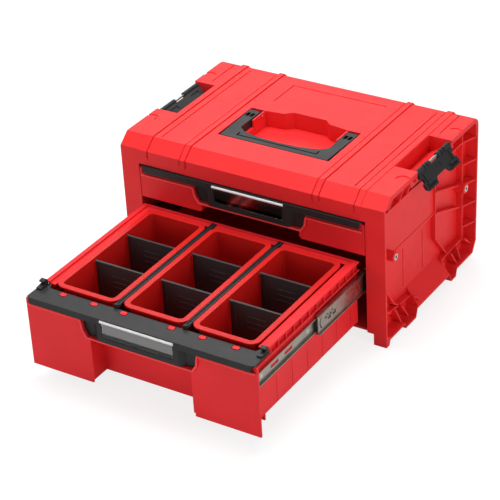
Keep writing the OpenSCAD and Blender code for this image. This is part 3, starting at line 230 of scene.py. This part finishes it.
def printed_card(name):
    """A dark card with a paler weave of paper fibres."""
    s = Shader(name)
    fibres = s.noise(scale=1200.0, detail=4.0, roughness=0.7, point=s.stretched((0.4, 1.0, 1.0)))
    greys = (0.030, 0.028, 0.030, 1.0), (0.055, 0.052, 0.055, 1.0)
    s.drive("Base Color", s.mixed(s.ranged(fibres, NOISE_MIDDLE, FULL), *greys))
    s.drive("Roughness", s.ranged(fibres, NOISE_MIDDLE, (0.5, 0.7)))
    s.drive("Normal", s.bump(fibres, strength=0.2, distance=0.00005))
    return s.material


# One material for each slot of the record.
SLOTS = {
    "shell_plastic": moulded_plastic(
        "red_shell_plastic", (0.80, 0.025, 0.027), roughness=0.42, grain=0.25, edge_wear_and_highlight=0.5),
    "drawer_plastic": moulded_plastic(
        "red_drawer_plastic", (0.74, 0.021, 0.026), roughness=0.44, grain=0.22, edge_wear_and_highlight=0.5),
    "bin_plastic": moulded_plastic(
        "red_bin_plastic", (0.57, 0.012, 0.010), roughness=0.40, grain=0.18, edge_wear_and_highlight=0.5, sheen=0.2),
    # On the black parts the edges are painted much lighter in patches, partly wear and partly painted
    # highlight.
    "black_plastic": moulded_plastic(
        "black_grained_plastic", (0.017, 0.017, 0.018), roughness=0.46, grain=0.35, edge_wear_and_highlight=0.6,
        edge_wear_and_highlight_shade=2.2, sheen=0.33),
    "divider_plastic": moulded_plastic(
        "black_divider_plastic", (0.040, 0.037, 0.038), roughness=0.42, grain=0.25, edge_wear_and_highlight=0.6,
        edge_wear_and_highlight_shade=4.5, sheen=0.3),
    "zinc_steel": zinc_steel(
        "zinc_plated_steel", (0.50, 0.475, 0.415), roughness=0.27, streak=(1.0, 0.03, 1.0)),
    "pin_steel": zinc_steel(
        "turned_steel", (0.78, 0.77, 0.74), roughness=0.28, streak=(1.0, 1.0, 1.0)),
    "card": printed_card("label_card"),
    "clear_plastic": clear_plastic("clear_window_plastic"),
}
# The lip's lighter red is a painted highlight on the lit edge.
LIP_HIGHLIGHT_PLASTIC = moulded_plastic(
    "red_lip_painted_highlight", (0.92, 0.060, 0.060), roughness=0.34, grain=0.12, edge_wear_and_highlight=0.3)
# The bead's pale grey is a painted highlight on the clear window's top edge.
WINDOW_EDGE_HIGHLIGHT = window_edge_highlight_plastic("window_edge_painted_highlight")


def dress_nodes():
    for part in frame["record"]["subparts"]:
        mesh = frame["nodes"][part["node"]].data
        mesh.materials.clear()
        mesh.materials.append(SLOTS[part["material_slot"]])


# ------------------------------------------------------- thin moulded trim

# The cabinet's own middle, which isn't that of the whole box, since one latch hangs out.
COVER_LOW, COVER_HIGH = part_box("top_cover")
MIDDLE_X = (COVER_LOW.x + COVER_HIGH.x) / 2

# Places along X from the cabinet's middle: the end of a drawer's lip, the block's inner corner,
# the foot of its slope, the end of the shelf under the grip, and the end of the window's bead.
LIP_END_X = 0.1885
BLOCK_CORNER_X = 0.0972
SLOPE_FOOT_X = 0.0948
SHELF_END_X = 0.0880
BEAD_END_X = 0.0610

# The lip: its radius, how far it stands before the front, and its heights from the trim's edges.
LIP_RADIUS = 0.0017
LIP_FORWARD = 0.0019
SHELF_BELOW_TRIM = 0.0020
SLOPE_RISE = 0.0105
BLOCK_BELOW_TRIM_TOP = {"lower": 0.0130, "upper": 0.0159}

# The bead of painted highlight on the window's top: its radius, how far it stands before the front, and its
# depth below the trim's top.
BEAD_RADIUS = 0.0022
BEAD_FORWARD = 0.0038
BEAD_BELOW_TRIM_TOP = 0.0038

# The ribs in the side recesses: half their thickness, and the side panel that they stand on.
RIB_HALF = 0.0012
PANEL_X = 0.205
# Each rib's course as (y, z) points, and how far out from the middle it reaches.
SIDE_RIBS = {
    "side_front_brace_ribs": ([(0.0035, 0.1080), (0.0435, 0.0490), (0.0590, 0.0380)], 0.2150),
    "side_front_cell_ribs": ([(0.0590, 0.0380), (0.0790, 0.0090)], 0.2190),
    "side_arch_ribs": ([(0.0900, 0.0370), (0.1000, 0.0310), (0.1050, 0.0240), (0.1070, 0.0170)], 0.2235),
    "side_rear_cell_ribs": ([(0.2170, 0.0420), (0.2360, 0.0140)], 0.2200),
}


def add_piece(name, mesh, body, material):
    """Puts a mesh in the scene as a piece that rides on a body."""
    made = bpy.data.objects.new(name, mesh)
    bpy.context.scene.collection.objects.link(made)
    mesh.materials.append(material)
    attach(made, body)


def add_bead(name, body, points, radius, material):
    """A round bead along a line of points, measured from the cabinet's middle."""
    curve = bpy.data.curves.new(name, "CURVE")
    curve.dimensions = "3D"
    curve.bevel_depth = radius
    curve.bevel_resolution = 3
    curve.use_fill_caps = True
    line = curve.splines.new("POLY")
    line.points.add(len(points) - 1)
    for place, (x, y, z) in zip(line.points, points):
        place.co = (x + MIDDLE_X, y, z, 1.0)
    carrier = bpy.data.objects.new(name, curve)
    bpy.context.scene.collection.objects.link(carrier)
    mesh = bpy.data.meshes.new_from_object(carrier)
    bpy.data.objects.remove(carrier)
    for face in mesh.polygons:
        face.use_smooth = True
    add_piece(name, mesh, body, material)


def add_side_ribs(name, course, reach):
    """A thin rib in the recess of each side, along its course, from the side panel out to its reach."""
    box_faces = ((0, 1, 2, 3), (7, 6, 5, 4), (0, 4, 5, 1), (1, 5, 6, 2), (2, 6, 7, 3), (3, 7, 4, 0))
    verts, faces = [], []
    for side in (-1.0, 1.0):
        for (y0, z0), (y1, z1) in zip(course, course[1:]):
            run = math.hypot(y1 - y0, z1 - z0)
            dy = (y1 - y0) / run * RIB_HALF
            dz = (z1 - z0) / run * RIB_HALF
            outline = ((y0 - dz, z0 + dy), (y0 + dz, z0 - dy), (y1 + dz, z1 - dy), (y1 - dz, z1 + dy))
            first = len(verts)
            for x in (PANEL_X, reach):
                verts.extend((side * x + MIDDLE_X, y, z) for y, z in outline)
            faces.extend(tuple(first + corner for corner in face) for face in box_faces)
    mesh = bpy.data.meshes.new(name)
    mesh.from_pydata(verts, [], faces)
    mesh.update()
    add_piece(name, mesh, "cabinet", SLOTS["shell_plastic"])


def add_front_lip(drawer, face_y, trim_low, trim_high):
    """The bright lip along the top edge of a drawer's front, round the trim; its lighter red is a painted
    highlight.
    """
    y = face_y - LIP_FORWARD
    block_z = trim_high.z - BLOCK_BELOW_TRIM_TOP[drawer]
    shelf_z = trim_low.z - SHELF_BELOW_TRIM
    right = [
        (LIP_END_X, y, block_z),
        (BLOCK_CORNER_X, y, block_z),
        (SLOPE_FOOT_X, y, shelf_z + SLOPE_RISE),
        (SHELF_END_X, y, shelf_z),
    ]
    left = [(-x, y, z) for x, y, z in reversed(right)]
    lip = right + left
    add_bead(f"{drawer}_front_lip", f"{drawer}_drawer", lip, LIP_RADIUS, LIP_HIGHLIGHT_PLASTIC)


def add_window_bead(drawer, face_y, trim_high):
    """The pale bead on the trim's face, along the top of the label window, a painted highlight."""
    bead_z = trim_high.z - BEAD_BELOW_TRIM_TOP
    ends = [(x, face_y - BEAD_FORWARD, bead_z) for x in (-BEAD_END_X, BEAD_END_X)]
    add_bead(f"{drawer}_window_bead", f"{drawer}_drawer", ends, BEAD_RADIUS, WINDOW_EDGE_HIGHLIGHT)


def add_moulded_trim():
    for name, (course, reach) in SIDE_RIBS.items():
        add_side_ribs(name, course, reach)
    for drawer in ("lower", "upper"):
        face_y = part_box(f"{drawer}_drawer_tub")[0].y
        trim_low, trim_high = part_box(f"{drawer}_drawer_trim")
        add_front_lip(drawer, face_y, trim_low, trim_high)
        add_window_bead(drawer, face_y, trim_high)


# ------------------------------------------------------- floor, light and camera

FLOOR_SIZE = 30.0
# The floor lies a hair below the feet, so that no two faces share a place.
FLOOR_GAP = 0.0002
FLOOR_COLOUR = (0.86, 0.86, 0.86, 1.0)
# Strength and share of the floor's glow, in mirrors and in the camera's view.
MIRROR_GLOW = (0.4, 0.6)
VIEW_GLOW = (1.12, 0.72)
WORLD_STRENGTH = 0.24
BACKDROP_COLOUR = (0.8, 0.8, 0.8, 1.0)

# The photograph's camera, found from the edges of the cabinet and of the open drawer.
CAMERA_PLACE = Vector((1.34952, -2.04537, 1.57711))
CAMERA_AIM = Vector((-0.03859, 0.03998, 0.07533))
CAMERA_ROLL = math.radians(-3.350)
FOCAL_LENGTH_PX = 1937.0
PHOTO_WIDTH_PX = 500.0
SENSOR_WIDTH = 36.0


def glow_over(tree, shader, rays, strength, share):
    """Lays an even white glow over a shader, for the named kinds of ray only."""
    path = tree.nodes.new("ShaderNodeLightPath")
    chosen = path.outputs[rays[0]]
    for ray in rays[1:]:
        either = tree.nodes.new("ShaderNodeMath")
        either.operation = "MAXIMUM"
        tree.links.new(chosen, either.inputs[0])
        tree.links.new(path.outputs[ray], either.inputs[1])
        chosen = either.outputs[0]
    part = tree.nodes.new("ShaderNodeMath")
    part.operation = "MULTIPLY"
    part.inputs[1].default_value = share
    tree.links.new(chosen, part.inputs[0])
    glow = tree.nodes.new("ShaderNodeEmission")
    glow.inputs["Strength"].default_value = strength
    mix = tree.nodes.new("ShaderNodeMixShader")
    tree.links.new(part.outputs[0], mix.inputs["Fac"])
    tree.links.new(shader, mix.inputs[1])
    tree.links.new(glow.outputs[0], mix.inputs[2])
    return mix.outputs[0]


def make_floor():
    """A matt pale floor, which the camera sees as nearly white with the object's soft shadow."""
    bpy.ops.mesh.primitive_plane_add(size=FLOOR_SIZE, location=(0.0, 0.0, -FLOOR_GAP))
    floor = bpy.context.object
    floor.name = "floor"
    s = Shader("pale_floor")
    s.fix(Base_Color=FLOOR_COLOUR, Roughness=0.9, Specular_IOR_Level=0.1)
    calm_in_mirrors = glow_over(s.tree, s.bsdf.outputs[0], ("Is Glossy Ray",), *MIRROR_GLOW)
    white_in_view = glow_over(s.tree, calm_in_mirrors, ("Is Camera Ray", "Is Transmission Ray"), *VIEW_GLOW)
    s.link(white_in_view, s.tree.nodes["Material Output"].inputs["Surface"])
    floor.data.materials.append(s.material)


def make_world():
    """A dim even light from all round; past the floor's edge the camera sees a pale backdrop instead."""
    world = bpy.data.worlds.new("studio")
    bpy.context.scene.world = world
    world.use_nodes = True
    tree = world.node_tree
    soft = tree.nodes["Background"]
    soft.inputs["Color"].default_value = (1.0, 1.0, 1.0, 1.0)
    soft.inputs["Strength"].default_value = WORLD_STRENGTH
    backdrop = tree.nodes.new("ShaderNodeBackground")
    backdrop.inputs["Color"].default_value = BACKDROP_COLOUR
    path = tree.nodes.new("ShaderNodeLightPath")
    mix = tree.nodes.new("ShaderNodeMixShader")
    tree.links.new(path.outputs["Is Camera Ray"], mix.inputs["Fac"])
    tree.links.new(soft.outputs[0], mix.inputs[1])
    tree.links.new(backdrop.outputs[0], mix.inputs[2])
    tree.links.new(mix.outputs[0], tree.nodes["World Output"].inputs["Surface"])


def make_light(name, place, aim, size, power):
    light = bpy.data.lights.new(name, "AREA")
    light.shape = "RECTANGLE"
    light.size, light.size_y = size
    light.energy = power
    lamp = bpy.data.objects.new(name, light)
    bpy.context.scene.collection.objects.link(lamp)
    lamp.location = place
    lamp.rotation_euler = (Vector(aim) - Vector(place)).to_track_quat("-Z", "Y").to_euler()


def make_camera():
    data = bpy.data.cameras.new("camera")
    data.sensor_width = SENSOR_WIDTH
    data.lens = SENSOR_WIDTH * FOCAL_LENGTH_PX / PHOTO_WIDTH_PX
    camera = bpy.data.objects.new("camera", data)
    bpy.context.scene.collection.objects.link(camera)
    camera.matrix_world = (
        Matrix.Translation(CAMERA_PLACE)
        @ (CAMERA_AIM - CAMERA_PLACE).to_track_quat("-Z", "Y").to_matrix().to_4x4()
        @ Matrix.Rotation(CAMERA_ROLL, 4, "Z")
    )
    bpy.context.scene.camera = camera


dress_nodes()
add_moulded_trim()
make_floor()
make_world()
make_light("key", place=(-0.2, 0.25, 2.1), aim=(0.0, 0.05, 0.1), size=(1.3, 1.1), power=50.0)
make_light("back", place=(-1.5, 2.3, 1.9), aim=(0.0, 0.05, 0.2), size=(1.7, 1.3), power=16.0)
make_light("side", place=(2.3, -0.4, 0.9), aim=(0.0, 0.05, 0.1), size=(1.4, 1.2), power=19.0)
make_light("front", place=(-0.9, -2.5, 0.9), aim=(0.0, 0.0, 0.1), size=(1.6, 1.2), power=15.0)
make_camera()
bpy.context.scene.view_settings.view_transform = "Standard"
